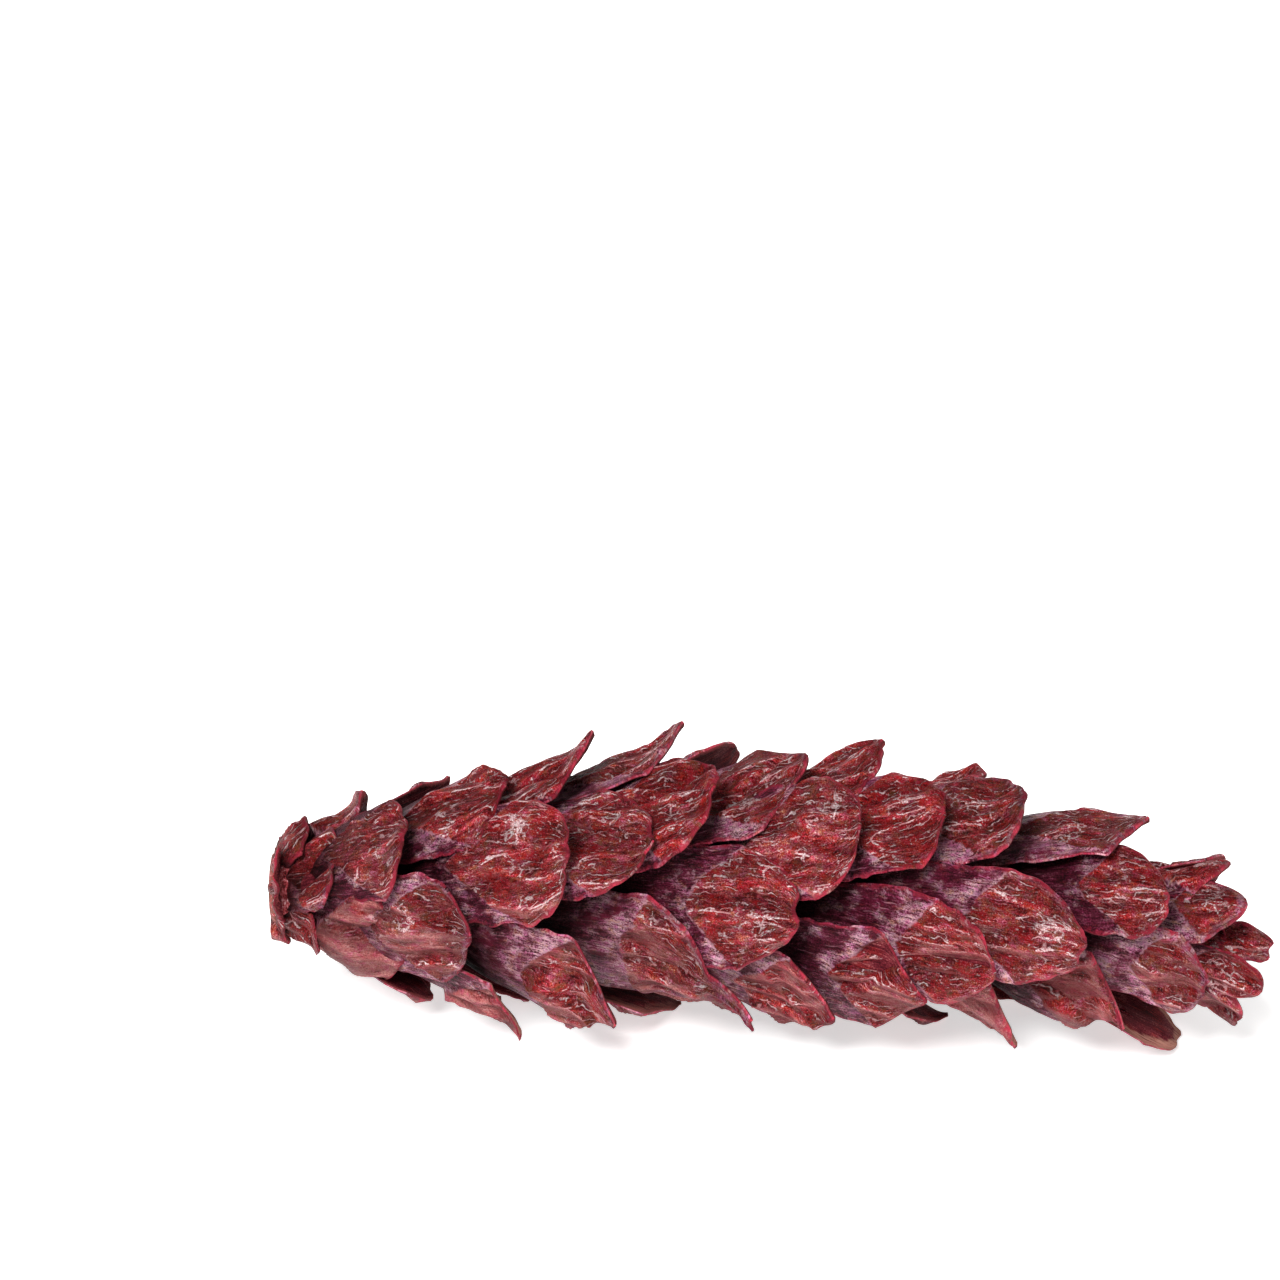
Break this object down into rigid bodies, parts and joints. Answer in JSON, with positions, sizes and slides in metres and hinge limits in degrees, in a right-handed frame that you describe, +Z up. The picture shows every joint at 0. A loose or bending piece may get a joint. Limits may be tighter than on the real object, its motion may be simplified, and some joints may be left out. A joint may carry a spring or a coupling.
{
  "type": "pine cone",
  "caption": "Long open pine cone of thin overlapping woody scales, painted dark red, lying on its side.",
  "frame": {"origin": "under the middle of the cone's bounding box, on the surface it rests on", "axes": "+X along the cone from its base to its tip, +Z up from the surface it rests on"},
  "size_m": [0.1482, 0.0468, 0.0449],
  "materials": {
    "painted_scales": "thin dark red paint, rubbed, with a slight satin sheen"
  },
  "bodies": {
    "root": {"pine_cone": "painted_scales"}
  },
  "joints": []
}
